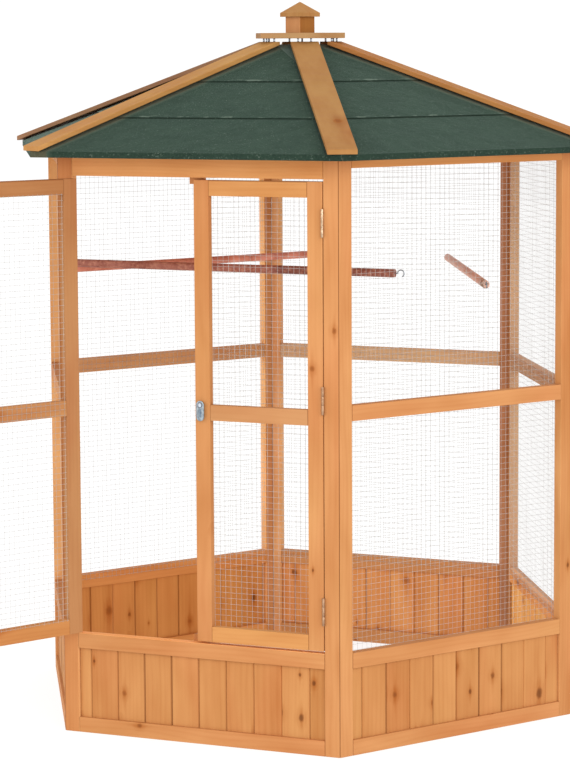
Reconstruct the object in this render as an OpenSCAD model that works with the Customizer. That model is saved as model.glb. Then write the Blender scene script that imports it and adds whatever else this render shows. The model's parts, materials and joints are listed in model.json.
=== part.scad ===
// Hexagonal garden aviary: six framed walls with boarded bases and wire mesh, a pair of
// outward-opening mesh door leaves, a felted roof of six facets with hip battens, a plate
// and finial at the apex, and three perches hooked on the mesh.
// Origin: foot of the door side, middle of its outer face, on the ground.
// +X to the right of the doors, +Y into the aviary, +Z up. Millimetres.

/* [Walls] */
// Width of one wall at its outer face, corner to corner
side_w = 665; // [560:5:800]
// Height of the walls, ground to the roof's seat
wall_h = 1309; // [1200:1:1600]
// Thickness of the wall frames
frame_t = 22; // [20:1:28]
// Face width of the upright stiles
stile_w = 35; // [30:1:45]
// Face height of the bottom, sill and middle rails
rail_h = 34; // [28:1:45]
// Height of the sill rails' upper edge
sill_top = 225; // [180:1:300]
// Height of the middle rails' lower edge
mid_rail_z = 727; // [600:1:850]
// Face height of the top rails
top_rail_h = 45; // [38:1:55]
// Face height of the header over the doors
header_h = 68; // [60:1:80]
// Open joint between two pieces that meet along a mitre
seam = 0.4; // [0.2:0.1:1]

/* [Boards] */
// Face width of one board in the base panels
board_w = 66; // [50:1:90]
// Thickness of the boards
board_t = 9; // [7:0.5:12]
// Depth of the V-groove at each board joint
groove_d = 2.5; // [1:0.25:3]
// Sideways shift of the board joints on the wall to the right of the doors
board_shift = -3; // [-20:1:20]

/* [Mesh] */
// Spacing of the mesh wires
mesh_pitch = 12.7; // [10:0.1:16]
// Wire spacings from one modelled upright wire to the next
mesh_step_x = 4; // [4:1:6]
// Wire spacings from one modelled level wire to the next
mesh_step_z = 3; // [3:1:6]
// Thickness of a modelled mesh wire
wire_t = 1.2; // [0.8:0.1:2]
// Least room for the mesh to lap onto the inner face of a frame
mesh_lap = 14; // [13:1:18]
// Lap of the wall mesh over the sill rail
sill_lap = 25; // [15:1:28]
// Least room for the wall mesh to lap over the top rail
top_lap = 20; // [14:1:26]
// Free space left behind pieces that are stapled or laid on
seat = 0.3; // [0.2:0.1:0.5]

/* [Doors] */
// Thickness of the door leaves
leaf_t = 17; // [14:1:20]
// Face width of the leaf stiles
leaf_stile_w = 35; // [28:1:42]
// Face height of the leaf rails
leaf_rail_h = 34; // [28:1:42]
// Height of the leaf middle rails' lower edge
leaf_mid_z = 717; // [600:1:850]
// Clearance above, below and between the leaves
door_gap = 5; // [5:0.5:8]
// Place of the meeting gap's middle, from the middle of the doorway
meet_x = -6.5; // [-10:0.5:10]
// Opening angle of the left leaf
left_open = 116; // [0:1:170]
// Width of the stop blocks behind the meeting gap
stop_w = 34; // [28:1:50]
// Height of the stop blocks
stop_h = 35; // [30:1:45]
// Thickness of the stop blocks
stop_t = 12; // [8:1:16]
// Reach of the stop blocks past the header and the sill, into the doorway
stop_reach = 15; // [10:1:18]

/* [Hinges and catch] */
// Height of one hinge
hinge_h = 60; // [45:1:75]
// Joint between a leaf and its stile, where the hinge plates lie
hinge_gap = 2; // [2:0.1:3]
// Thickness of a hinge plate
hinge_plate_t = 0.8; // [0.5:0.1:0.9]
// Depth of a hinge plate
hinge_plate_w = 14; // [10:1:16]
// Radius of the hinge knuckles
knuckle_r = 3; // [2.5:0.1:4]
// Distance of the end hinges' middles from the ends of a leaf
hinge_in = 87; // [60:1:120]
// Height of the middle hinge above the middle of the leaf middle rail
hinge_up = 38; // [30:1:60]
// Length of the turn button
catch_l = 44; // [36:1:50]
// Width of the turn button
catch_w = 18; // [14:1:20]
// Width of the groove pressed along the turn button
catch_groove_w = 8; // [4:0.5:9]
// Thickness of the turn button
catch_t = 2.5; // [2:0.5:4]
// Distance of the turn button's screw from the edge of the right leaf
catch_in = 14.5; // [12:0.5:16]
// Height of the turn button's screw, from which the button hangs
catch_z = 751; // [650:1:850]

/* [Roof] */
// Overhang of the eaves beyond the outer face of the walls
overhang = 60; // [40:1:90]
// Rise of the roof for each unit of level run
roof_slope = 0.4; // [0.3:0.01:0.5]
// Upright thickness of the roof boards
deck_t = 5.5; // [4:0.5:12]
// Thickness of the felt
felt_t = 2; // [1.5:0.5:3]
// Step of the felt where one course laps over the next
felt_step = 2.5; // [1.5:0.5:4]
// Drop of the felt's edge below the underside of the eaves
felt_drop = 3; // [0:0.5:6]
// Level run of the lowest felt course
course_1 = 176; // [120:1:220]
// Level run of the second felt course
course_2 = 191; // [120:1:220]
// Distance of the roof's upper edges from its axis
roof_hole = 60; // [50:1:75]
// Width of the hip battens
batten_w = 64; // [50:1:66]
// Thickness of the hip battens
batten_t = 10; // [8:0.5:16]
// Distance from the roof's axis to where the battens' tops are cut level
batten_in = 90; // [86:1:96]

/* [Finial] */
// Radius of the apex plate at its corners
plate_r = 112.5; // [100:0.5:130]
// Thickness of the apex plate
plate_t = 12.5; // [9:0.5:18]
// Height of the apex plate above the battens, on its screws
plate_lift = 7.5; // [4:0.5:12]
// Thickness of the apex screws
apex_screw_d = 4.5; // [3.5:0.5:6]
// Distance between the two apex screws of one batten
apex_screw_gap = 30; // [16:1:44]
// Width of the square finial block
block_w = 48; // [38:1:54]
// Height of the finial block
block_h = 37; // [24:1:60]
// Width of the finial cap
cap_w = 66; // [58:1:80]
// Height of the cap's upright rim
cap_rim = 9; // [5:1:14]
// Height of the cap's pyramid above its rim
cap_rise = 26; // [15:1:40]
// Turn of the finial on its screw
finial_turn = -22; // [-45:1:45]

/* [Perches] */
// Diameter of a perch
perch_d = 18; // [14:1:24]
// Radius of a hook's bend
hook_r = 7.5; // [6.5:0.5:9]
// Thickness of the hook wire
hook_t = 2.4; // [2:0.1:3]
// Distance from the middle of a hook's bend to the end of its perch
hook_l = 14; // [12:1:20]
// Mesh row that carries the front perch
front_row = 66; // [48:3:72]
// Mesh row that carries the two other perches
rear_row = 63; // [48:3:72]

/* [Hidden] */

pine = "sandybrown";
board_pine = "peru";
zinc = "lightsteelblue";
wire_grey = "silver";
felt_green = "darkslategray";
stain_red = "brown";

corner = 60;
half_w = side_w / 2;
apothem = half_w / tan(corner / 2);
mitre = tan(corner / 2);
mitre_gap = seam / 2 / cos(corner / 2);
rail_x = half_w - stile_w;
sill_z = sill_top - rail_h;
top_rail_z = wall_h - top_rail_h;
header_z = wall_h - header_h;

leaf_z = sill_top + door_gap;
leaf_top = header_z - door_gap;
leaf_edge_x = rail_x - hinge_gap;
meet_left_x = meet_x - door_gap / 2;
meet_right_x = meet_x + door_gap / 2;
pin_x = rail_x - hinge_gap / 2;
knuckle_gap = 0.5;
pin_y = -knuckle_r - knuckle_gap;
pin_r = 1.2;
run_gap = 0.3;
cut_over = 1;
leaf_mid_mid = leaf_mid_z + leaf_rail_h / 2;
hinge_zs = [leaf_z + hinge_in, leaf_mid_mid + hinge_up, leaf_top - hinge_in];
catch_x = meet_right_x + catch_in;
catch_off = 5;
catch_boss_r = 5.5;
catch_screw_r = 2;
catch_head_r = 4.2;
catch_head_t = 1.5;
catch_reach = catch_l - catch_w;
catch_groove_d = 1;

eave_d = apothem + overhang;
hip_slope = roof_slope * cos(corner / 2);
batten_rise = batten_t * sqrt(1 + hip_slope * hip_slope);
batten_short = 2;
batten_flat = 9;
batten_z = wall_h + seat + roof_slope * apothem + deck_t + felt_t + felt_step + seat;
batten_top = batten_z + batten_rise - hip_slope * batten_in;
plate_z = batten_top + plate_lift;
block_z = plate_z + plate_t;
cap_z = block_z + block_h;

mesh_y = frame_t + seat;
mesh_z = sill_top - sill_lap;
mesh_cols = floor((rail_x + mesh_lap) / mesh_pitch);
mesh_rows = floor((top_rail_z + top_lap - mesh_z) / mesh_pitch);

// Each perch: wall and mesh cell of one end, wall and mesh cell of the other, mesh row
perch_list = [
    [5, 8, 1, -12, front_row],
    [5, -15, 3, 14, rear_row],
    [3, -13, 1, 7, rear_row]
];

// Shift of the board joints on each wall, from the door side on
board_shifts = [-5, board_shift, 0, -2, -26, board_shift];

// Puts a wall's local frame in its place: 0 is the door side, then counter-clockwise
module at_wall(i)
    translate([0, apothem, 0])
        rotate([0, 0, corner * i])
            translate([0, -apothem, 0])
                children();

// Local +X runs outwards from the roof's axis, square to wall i, or along the hip after it
module at_axis(i)
    translate([0, apothem, 0])
        rotate([0, 0, corner * i - 90])
            children();

// ---- Walls ----

module mitred_stile()
    linear_extrude(height = wall_h)
        polygon([
            [-half_w + mitre_gap, 0],
            [-rail_x, 0],
            [-rail_x, frame_t],
            [-half_w + mitre_gap + frame_t * mitre, frame_t]
        ]);

module wall_stiles(i)
    color(pine)
        at_wall(i) {
            mitred_stile();
            mirror([1, 0, 0]) mitred_stile();
        }

module rail(z, h)
    translate([-rail_x, 0, z])
        cube([2 * rail_x, frame_t, h]);

module wall_rails(i)
    color(pine)
        at_wall(i) {
            rail(0, rail_h);
            rail(sill_z, rail_h);
            rail(mid_rail_z, rail_h);
            rail(top_rail_z, top_rail_h);
        }

module front_rails()
    color(pine) {
        rail(0, rail_h);
        rail(sill_z, rail_h);
        rail(header_z, header_h);
    }

// Board joints that fall inside a panel, from left to right
function joint_xs(shift) = [
    for (k = [-ceil(rail_x / board_w) : ceil(rail_x / board_w)])
        if (abs(k * board_w + shift) < rail_x - 2 * groove_d) k * board_w + shift
];

function groove(x, y, depth) = [[x - abs(depth), y], [x, y + depth], [x + abs(depth), y]];

module wall_boards(i) {
    xs = joint_xs(board_shifts[i]);
    y_out = (frame_t - board_t) / 2;
    y_in = y_out + board_t;
    outer = [for (x = xs) each groove(x, y_out, groove_d)];
    inner = [for (x = xs) each groove(x, y_in, -groove_d)];
    inner_back = [for (k = [len(inner) - 1 : -1 : 0]) inner[k]];
    color(board_pine)
        at_wall(i)
            translate([0, 0, rail_h])
                linear_extrude(height = sill_z - rail_h)
                    polygon(concat(
                        [[-rail_x, y_out]], outer, [[rail_x, y_out]],
                        [[rail_x, y_in]], inner_back, [[-rail_x, y_in]]
                    ));
}

// ---- Mesh ----

// Upright sheet of crossing wires, cols wire spacings to each side of x = 0
module mesh_sheet(cols, rows)
    rotate([90, 0, 0])
        translate([0, 0, -wire_t])
            linear_extrude(height = wire_t)
                difference() {
                    translate([-cols * mesh_pitch - wire_t / 2, -wire_t / 2])
                        square([2 * cols * mesh_pitch + wire_t, rows * mesh_pitch + wire_t]);
                    for (c = [-cols : mesh_step_x : cols - 1])
                        for (r = [0 : mesh_step_z : rows - 1])
                            translate([c * mesh_pitch + wire_t / 2, r * mesh_pitch + wire_t / 2])
                                square([
                                    min(mesh_step_x, cols - c) * mesh_pitch - wire_t,
                                    min(mesh_step_z, rows - r) * mesh_pitch - wire_t
                                ]);
                }

module wall_mesh(i)
    color(wire_grey)
        at_wall(i)
            translate([0, mesh_y, mesh_z])
                mesh_sheet(mesh_cols, mesh_rows);

// ---- Doors ----

// Turns what is drawn for the closed left leaf to its open place
module left_swing()
    translate([-pin_x, pin_y, 0])
        rotate([0, 0, -left_open])
            translate([pin_x, -pin_y, 0])
                children();

module leaf_stile(x)
    translate([x, 0, leaf_z])
        cube([leaf_stile_w, leaf_t, leaf_top - leaf_z]);

module leaf_stiles(x_a, x_b)
    color(pine) {
        leaf_stile(x_a);
        leaf_stile(x_b - leaf_stile_w);
    }

module leaf_rails(x_a, x_b)
    color(pine)
        for (z = [leaf_z, leaf_mid_z, leaf_top - leaf_rail_h])
            translate([x_a + leaf_stile_w, 0, z])
                cube([x_b - x_a - 2 * leaf_stile_w, leaf_t, leaf_rail_h]);

module leaf_mesh(x_a, x_b) {
    clear_w = x_b - x_a - 2 * leaf_stile_w;
    z_a = leaf_z + leaf_rail_h - mesh_lap;
    cols = floor((clear_w / 2 + mesh_lap) / mesh_pitch);
    rows = floor((leaf_top - leaf_rail_h + mesh_lap - z_a) / mesh_pitch);
    color(wire_grey)
        translate([(x_a + x_b) / 2, leaf_t + seat, z_a])
            mesh_sheet(cols, rows);
}

module door_stops()
    color(pine)
        for (z = [sill_top + stop_reach - stop_h, header_z - stop_reach])
            translate([meet_x - stop_w / 2, frame_t, z])
                cube([stop_w, stop_t, stop_h]);

// ---- Hinges ----

// One knuckle of a hinge with its tab, from z_a to z_b, round a pin on the Z axis
module knuckle(z_a, z_b, plate_x, bore_r)
    difference() {
        union() {
            translate([0, 0, z_a])
                cylinder(r = knuckle_r, h = z_b - z_a, $fn = 32);
            translate([plate_x, 0, z_a])
                cube([hinge_plate_t, -pin_y, z_b - z_a]);
        }
        translate([0, 0, z_a - cut_over])
            cylinder(r = bore_r, h = z_b - z_a + 2 * cut_over, $fn = 24);
    }

// Plate and end knuckles, with the pin, of the hinge half on the frame
module fixed_half() {
    plate_x = -hinge_gap / 2;
    third = hinge_h / 3;
    translate([plate_x, -pin_y, -hinge_h / 2])
        cube([hinge_plate_t, hinge_plate_w, hinge_h]);
    for (s = [-1, 1])
        translate([0, 0, s * third - third / 2])
            knuckle(0, third, plate_x, pin_r);
    translate([0, 0, -hinge_h / 2])
        cylinder(r = pin_r, h = hinge_h, $fn = 24);
}

// Plate and middle knuckle of the hinge half on a leaf
module moving_half() {
    plate_x = hinge_gap / 2 - hinge_plate_t;
    third = hinge_h / 3;
    translate([plate_x, -pin_y, -hinge_h / 2])
        cube([hinge_plate_t, hinge_plate_w, hinge_h]);
    knuckle(run_gap - third / 2, third / 2 - run_gap, plate_x, pin_r + run_gap);
}

module left_hinges()
    for (z = hinge_zs)
        translate([-pin_x, pin_y, z])
            children();

module frame_hinges()
    color(zinc) {
        left_hinges() fixed_half();
        mirror([1, 0, 0]) left_hinges() fixed_half();
    }

module leaf_hinges()
    color(zinc)
        left_hinges() moving_half();

// ---- Turn button ----

module at_catch()
    translate([catch_x, 0, catch_z])
        rotate([90, 0, 0])
            children();

module catch_screw()
    color(zinc)
        at_catch() {
            cylinder(r = catch_screw_r, h = catch_off + catch_t + run_gap + catch_head_t, $fn = 24);
            translate([0, 0, catch_off + catch_t + run_gap])
                cylinder(r = catch_head_r, h = catch_head_t, $fn = 32);
        }

// Upright slot of width w with round ends about y_a below and y_b above
module slot_outline(w, y_a, y_b) {
    translate([-w / 2, y_a])
        square([w, y_b - y_a]);
    for (y = [y_a, y_b])
        translate([0, y])
            circle(d = w, $fn = 48);
}

module catch()
    color(zinc)
        at_catch()
            difference() {
                union() {
                    translate([0, 0, catch_off])
                        linear_extrude(height = catch_t)
                            slot_outline(catch_w, -catch_reach, 0);
                    translate([0, 0, run_gap])
                        cylinder(r = catch_boss_r, h = catch_off, $fn = 32);
                }
                translate([0, 0, -cut_over])
                    cylinder(
                        r = catch_screw_r + run_gap,
                        h = catch_off + catch_t + 2 * cut_over,
                        $fn = 24
                    );
                translate([0, 0, catch_off + catch_t - catch_groove_d])
                    linear_extrude(height = catch_groove_d + cut_over)
                        slot_outline(catch_groove_w, -catch_reach, -catch_boss_r * 2);
            }

// ---- Roof ----

function under_z(d) = wall_h + seat + roof_slope * (apothem - d);

function deck_z(d) = under_z(d) + deck_t;

function felt_z(d) = deck_z(d) + felt_t;

// Lower edges of the felt courses, and the upper end of the last
course_ds = [eave_d, eave_d - course_1, eave_d - course_1 - course_2, roof_hole];
deck_d = eave_d - felt_t;

deck_section = [
    [deck_d, under_z(deck_d)],
    [deck_d, deck_z(deck_d)],
    [roof_hole, deck_z(roof_hole)],
    [roof_hole, under_z(roof_hole)]
];

// Turned down over the eave, then along the deck and back over the courses
felt_section = concat(
    [[eave_d, under_z(eave_d) - felt_drop]],
    [[deck_d, under_z(eave_d) - felt_drop]],
    [[deck_d, deck_z(deck_d)]],
    [[roof_hole, deck_z(roof_hole)]],
    [for (k = [2 : -1 : 0]) each [
        [course_ds[k + 1], felt_z(course_ds[k + 1])],
        [course_ds[k], felt_z(course_ds[k]) + felt_step]
    ]]
);

// Section drawn outwards and up, run along wall i and mitred at both hips
module roof_slab(i, section)
    at_axis(i)
        intersection() {
            rotate([90, 0, 0])
                linear_extrude(height = 2 * eave_d, center = true)
                    polygon(section);
            linear_extrude(height = cap_z)
                polygon([
                    [seam, 0],
                    [2 * eave_d, -(2 * eave_d - seam) * mitre],
                    [2 * eave_d, (2 * eave_d - seam) * mitre]
                ]);
        }

module roof_decks()
    color(pine)
        for (i = [0 : 5])
            roof_slab(i, deck_section);

module felt(i)
    color(felt_green)
        roof_slab(i, felt_section);

module hip_battens() {
    r_low = eave_d / cos(corner / 2) - batten_short;
    r_in = batten_in - batten_flat;
    color(pine)
        for (i = [0 : 5])
            at_axis(i + 0.5)
                rotate([90, 0, 0])
                    linear_extrude(height = batten_w, center = true)
                        polygon([
                            [r_low, batten_z - hip_slope * r_low],
                            [r_low, batten_z + batten_rise - hip_slope * r_low],
                            [batten_in, batten_top],
                            [r_in, batten_top],
                            [r_in, batten_z - hip_slope * r_in]
                        ]);
}

module apex_screws()
    color(zinc)
        for (i = [0 : 5], side = [-1, 1])
            at_axis(i + 0.5)
                translate([batten_in - batten_flat / 2, side * apex_screw_gap / 2, batten_top])
                    cylinder(d = apex_screw_d, h = plate_lift, $fn = 24);

module apex_plate()
    color(pine)
        translate([0, apothem, plate_z])
            cylinder(r = plate_r, h = plate_t, $fn = 6);

module finial_block()
    color(pine)
        translate([0, apothem, block_z])
            rotate([0, 0, finial_turn])
                translate([-block_w / 2, -block_w / 2, 0])
                    cube([block_w, block_w, block_h]);

module cap_gable()
    rotate([90, 0, 0])
        linear_extrude(height = cap_w, center = true)
            polygon([
                [-cap_w / 2, 0], [cap_w / 2, 0], [cap_w / 2, cap_rim],
                [0, cap_rim + cap_rise], [-cap_w / 2, cap_rim]
            ]);

module finial_cap()
    color(pine)
        translate([0, apothem, cap_z])
            rotate([0, 0, finial_turn])
                intersection() {
                    cap_gable();
                    rotate([0, 0, 90]) cap_gable();
                }

// ---- Perches ----

// Point on the mesh of wall i in the middle of one mesh cell, in plan
function mesh_point(i, cell) =
    let (a = corner * i, s = (cell + 0.5) * mesh_pitch, d = apothem - mesh_y - wire_t / 2)
        [d * sin(a) + s * cos(a), apothem - d * cos(a) + s * sin(a)];

hook_drop = hook_r - hook_t / 2 - wire_t / 2 - seat;

function perch_z(p) = mesh_z + p[4] * mesh_pitch - hook_drop;

// Draws its children with +X along the perch from its first hook, and passes on the span
module along_perch(p) {
    a = mesh_point(p[0], p[1]);
    b = mesh_point(p[2], p[3]);
    $span = norm(b - a);
    translate([a[0], a[1], perch_z(p)])
        rotate([0, 0, atan2(b[1] - a[1], b[0] - a[0])])
            children();
}

module perches()
    color(stain_red)
        for (p = perch_list)
            along_perch(p)
                translate([hook_l, 0, 0])
                    rotate([0, 90, 0])
                        cylinder(d = perch_d, h = $span - 2 * hook_l, $fn = 48);

// Screw hook at the origin with its shank towards +X, open below on the perch's side
module screw_hook() {
    rotate([90, 0, 0])
        rotate_extrude(angle = 240, $fn = 48)
            translate([hook_r, 0])
                circle(d = hook_t, $fn = 24);
    translate([hook_r, 0, 0])
        rotate([0, 90, 0])
            cylinder(d = hook_t, h = hook_l - hook_r, $fn = 24);
}

module perch_hooks()
    color(zinc)
        for (p = perch_list)
            along_perch(p) {
                screw_hook();
                translate([$span, 0, 0]) mirror([1, 0, 0]) screw_hook();
            }

// ---- Parts ----

wall_stiles(0);  // front_stiles
front_rails();
wall_boards(0);  // front_boards
door_stops();
frame_hinges();

wall_stiles(1);  // right_front_stiles
wall_rails(1);  // right_front_rails
wall_boards(1);  // right_front_boards
wall_mesh(1);  // right_front_mesh

wall_stiles(2);  // right_back_stiles
wall_rails(2);  // right_back_rails
wall_boards(2);  // right_back_boards
wall_mesh(2);  // right_back_mesh

wall_stiles(3);  // back_stiles
wall_rails(3);  // back_rails
wall_boards(3);  // back_boards
wall_mesh(3);  // back_mesh

wall_stiles(4);  // left_back_stiles
wall_rails(4);  // left_back_rails
wall_boards(4);  // left_back_boards
wall_mesh(4);  // left_back_mesh

wall_stiles(5);  // left_front_stiles
wall_rails(5);  // left_front_rails
wall_boards(5);  // left_front_boards
wall_mesh(5);  // left_front_mesh

left_swing() leaf_stiles(-leaf_edge_x, meet_left_x);  // left_leaf_stiles
left_swing() leaf_rails(-leaf_edge_x, meet_left_x);  // left_leaf_rails
left_swing() leaf_mesh(-leaf_edge_x, meet_left_x);  // left_leaf_mesh
left_swing() leaf_hinges();  // left_leaf_hinges

leaf_stiles(meet_right_x, leaf_edge_x);  // right_leaf_stiles
leaf_rails(meet_right_x, leaf_edge_x);  // right_leaf_rails
leaf_mesh(meet_right_x, leaf_edge_x);  // right_leaf_mesh
mirror([1, 0, 0]) leaf_hinges();  // right_leaf_hinges
catch_screw();
catch();

roof_decks();
felt(0);  // felt_front
felt(1);  // felt_right_front
felt(2);  // felt_right_back
felt(3);  // felt_back
felt(4);  // felt_left_back
felt(5);  // felt_left_front
hip_battens();
apex_screws();
apex_plate();
finial_block();
finial_cap();

perches();
perch_hooks();
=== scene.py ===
"""Finish of the hexagonal garden aviary: boards, wire, fastenings, materials, light and camera."""
import json
import math
import random

import bpy
from mathutils import Matrix, Vector, noise


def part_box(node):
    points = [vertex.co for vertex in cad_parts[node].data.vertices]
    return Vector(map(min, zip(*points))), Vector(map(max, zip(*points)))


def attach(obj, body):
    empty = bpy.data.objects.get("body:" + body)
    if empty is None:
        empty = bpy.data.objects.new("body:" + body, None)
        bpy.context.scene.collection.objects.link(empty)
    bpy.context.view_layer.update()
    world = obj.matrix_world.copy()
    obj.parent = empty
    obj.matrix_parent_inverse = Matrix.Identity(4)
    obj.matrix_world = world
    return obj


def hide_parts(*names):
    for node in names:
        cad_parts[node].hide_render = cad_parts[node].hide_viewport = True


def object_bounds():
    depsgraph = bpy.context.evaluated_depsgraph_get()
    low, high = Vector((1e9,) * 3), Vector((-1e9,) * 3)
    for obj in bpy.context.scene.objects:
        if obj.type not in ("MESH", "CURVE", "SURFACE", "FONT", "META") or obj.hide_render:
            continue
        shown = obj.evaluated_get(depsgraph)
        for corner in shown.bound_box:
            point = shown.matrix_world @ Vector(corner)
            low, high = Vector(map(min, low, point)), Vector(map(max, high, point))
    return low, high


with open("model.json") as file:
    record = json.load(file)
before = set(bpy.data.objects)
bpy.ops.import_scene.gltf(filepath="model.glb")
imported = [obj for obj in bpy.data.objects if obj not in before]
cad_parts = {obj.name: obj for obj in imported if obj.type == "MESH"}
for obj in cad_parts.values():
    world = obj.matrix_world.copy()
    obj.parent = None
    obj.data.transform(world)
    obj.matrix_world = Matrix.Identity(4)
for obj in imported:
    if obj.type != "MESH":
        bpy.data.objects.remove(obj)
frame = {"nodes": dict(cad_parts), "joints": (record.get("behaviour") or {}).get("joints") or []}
CAD_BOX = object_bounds()


# ---- Places, in metres, from the frame ----

WALLS = ("front", "right_front", "right_back", "back", "left_back", "left_front")
MESH_WALLS = WALLS[1:]
CORNER = math.radians(60)
JOINTS = {joint["name"]: joint for joint in frame["joints"]}


def points_of(node):
    """The points of a CAD node's mesh."""
    return [vertex.co for vertex in frame["nodes"][node].data.vertices]


def middle_of(node):
    """The middle of a CAD node's box."""
    return [(low + high) / 2 for low, high in zip(*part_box(node))]


AXIS = Vector((*middle_of("apex_plate")[:2], 0))
panel_low, panel_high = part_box("front_boards")
PANEL_MIDDLE = (panel_low.y + panel_high.y) / 2
RAIL_X = panel_high.x
PERCH_X, _, PERCH_Z = middle_of("perches")
BLOCK_EDGE_X = min(points_of("finial_block"), key=lambda point: point.y).x

# Heights of the front rails' faces, from the bottom up: the fourth is the sill's top
front_levels = sorted({round(point.z, 4) for point in points_of("front_rails")})
SILL_TOP = front_levels[3]

# Heights between the sill rails and the middle rails, and between those and the top rails
ABOVE_SILL = 0.5
ABOVE_MIDDLE = 1.1

# Rails of one wall lie at least this far apart, so a level's number tells them apart
RAIL_STEP = 0.17

# Felt: the eave, and the laps, where two points of its profile stand one above the other
FELT_TURN = 0.01
profile = {(round(point.y, 4), round(point.z, 4)) for point in points_of("felt_front")}
FELT_EAVE = min(y for y, z in profile)
FELT_TOP = max(y for y, z in profile)
steps = sorted({y for y, z in profile for v, w in profile if v == y and z > w})
FELT_LAPS = [y for y in steps if FELT_EAVE + FELT_TURN < y < FELT_TOP]
BATTEN_HALF = 0.032


def wall_place(index):
    """Moves what is drawn for the front wall to wall number index, counter-clockwise."""
    turn = Matrix.Rotation(CORNER * index, 4, "Z")
    return Matrix.Translation(AXIS) @ turn @ Matrix.Translation(-AXIS)


def left_leaf_place():
    """Moves what is drawn for the closed left leaf to its open place."""
    joint = JOINTS["left_door_hinge"]
    pin = Vector(joint["pos_m"])
    turn = Matrix.Rotation(-math.radians(joint["range_deg"][1]), 4, "Z")
    return Matrix.Translation(pin) @ turn @ Matrix.Translation(-pin)


def box_in(node, place):
    """Lowest and highest corner of a CAD node, drawn back from its place."""
    back = place.inverted()
    points = [back @ point for point in points_of(node)]
    low = Vector([min(point[k] for point in points) for k in range(3)])
    high = Vector([max(point[k] for point in points) for k in range(3)])
    return low, high


# ---- Sizes of what is added, in metres ----

SHARP = math.radians(35)
WELD_GAP = 0.00002
TIMBER_EDGE = 0.0011
DECK_EDGE = 0.0004
FELT_EDGE = 0.0006
PERCH_EDGE = 0.0012
METAL_EDGE = 0.0002
CATCH_EDGE = 0.0004

BOARD_W = 0.066
BOARD_SHIFT = dict(zip(WALLS, (-0.005, -0.003, 0.0, -0.002, -0.026, -0.003)))
BOARD_CHAMFER = 0.0019
BOARD_EDGE = 0.0003
BOARD_GAP = 0.0003
BOARD_SINK = 0.0004
TONGUE_T = 0.003
TONGUE_W = 0.004
GROOVE_ROOM = 0.0004

# Wires: crossing wires sink into each other, and their ends stand past the last weld
MESH_PITCH = 0.0127
MESH_TRIM = 0.0105
WIRE_R = 0.0003
WIRE_LAYER = WIRE_R * 0.85
WIRE_END = MESH_PITCH * 0.2
WIRE_WANDER = 0.0005
WIRE_PROUD = 0.5

# Where a wire reads its wander in the noise, far enough apart that no two look alike
WANDER_LINE = 3.1
WANDER_KIND = 17.3
WANDER_ALONG = 9.0
WANDER_DEPTH = 5.7
WANDER_SIDE = Vector((0, 0, 41.0))

# Lines at joints, as how wide they are on either side and how deep in tone
MITRE_LINE = (0.0014, 0.5)
BUTT_LINE = (0.0016, 0.6)
EDGE_LINE = (0.003, 0.6)
BOARD_LINE = (0.0038, 1.0)
# Painted light along some board joints, lifting the shade in their grooves
JOINT_LIGHT_LINE = (0.0038, 0.5)
# Painted shadow on the felt beside a batten
BATTEN_SHADOW_LINE = (0.004, 0.35)
LINE_CORE = 0.35
LEDGE_T = 0.0006


# ---- Colours and tints ----


def srgb(red, green, blue):
    """Linear colour from display values of 0 to 255."""
    linear = []
    for value in (red, green, blue):
        share = value / 255
        linear.append(share / 12.92 if share <= 0.04045 else ((share + 0.055) / 1.055) ** 2.4)
    return tuple(linear)


# Woods, as the light and the dark tone of the grain
PINE = (srgb(196, 138, 88), srgb(160, 94, 45))
BOARD = (srgb(192, 135, 83), srgb(157, 92, 43))
ROOF = (srgb(165, 121, 72), srgb(137, 83, 39))
LEAF = {"left": (srgb(174, 123, 80), srgb(142, 82, 41)), "right": PINE}
CREASE = srgb(118, 66, 31)
KNOT_PALE = (srgb(148, 84, 37), srgb(126, 68, 33))
KNOT_DARK = (srgb(114, 62, 30), srgb(76, 40, 22))
HUE_RED = (1.05, 0.93, 0.97)
HUE_GREEN = (0.97, 1.03, 0.98)

# How many of the cells in the grain hold a knot
FEW_KNOTS = 0.16
BOARD_KNOTS = 0.62
DECK_KNOTS = 0.05

FELT_BASE = (srgb(35, 53, 44), srgb(42, 61, 50))
FELT_GRIT = (srgb(22, 33, 27), srgb(68, 88, 74))
FELT_FLECK = srgb(133, 145, 131)
FELT_SHEEN = srgb(196, 222, 208)
FELT_WEAR_AND_GLINT = srgb(128, 142, 128)
FELT_SHADE = srgb(16, 20, 15)
# Painted light, and the batten's painted brown reflection, for the felt beside the battens
FELT_LIT = srgb(82, 96, 82)
FELT_BOUNCE = srgb(122, 92, 58)

# Metals, as the pale and the dull tone of the spangle
BRIGHT_ZINC = (srgb(190, 196, 204), srgb(140, 148, 158))
WIRE_ZINC = (srgb(188, 186, 182), srgb(164, 161, 156))
HOOK_ZINC = (srgb(158, 164, 170), srgb(104, 108, 112))
YELLOW_ZINC = (srgb(216, 188, 156), srgb(152, 124, 98))
BLUED_ZINC = (srgb(158, 170, 176), srgb(118, 126, 134))
# A browner, darker tone for the hinges below the top rails
HINGE_LOWER = srgb(150, 106, 76)
# Painted shade on the catch: the ring about its screw and the groove below
CATCH_RING_SHADE = srgb(84, 72, 78)
CATCH_GROOVE_SHADE = srgb(84, 104, 122)

PERCH_PATCH = (srgb(178, 98, 74), srgb(212, 132, 108))
PERCH_PALE = srgb(226, 190, 170)
PERCH_END = srgb(96, 84, 62)
PERCH_DEEP = srgb(84, 34, 26)
PERCH_DUSK = srgb(60, 24, 18)
PERCH_FLECK = (srgb(65, 33, 29), srgb(198, 138, 109))

# Where the pale perch's grey end fades in, in y, and the dark perch's dusk, in x
PERCH_END_Y = (0.455, 0.425)
PERCH_DUSK_X = (0.09, 0.13)

# Tints multiply the tone of one side or end of a piece
PLAIN = (1.0, 1.0, 1.0)

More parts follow.
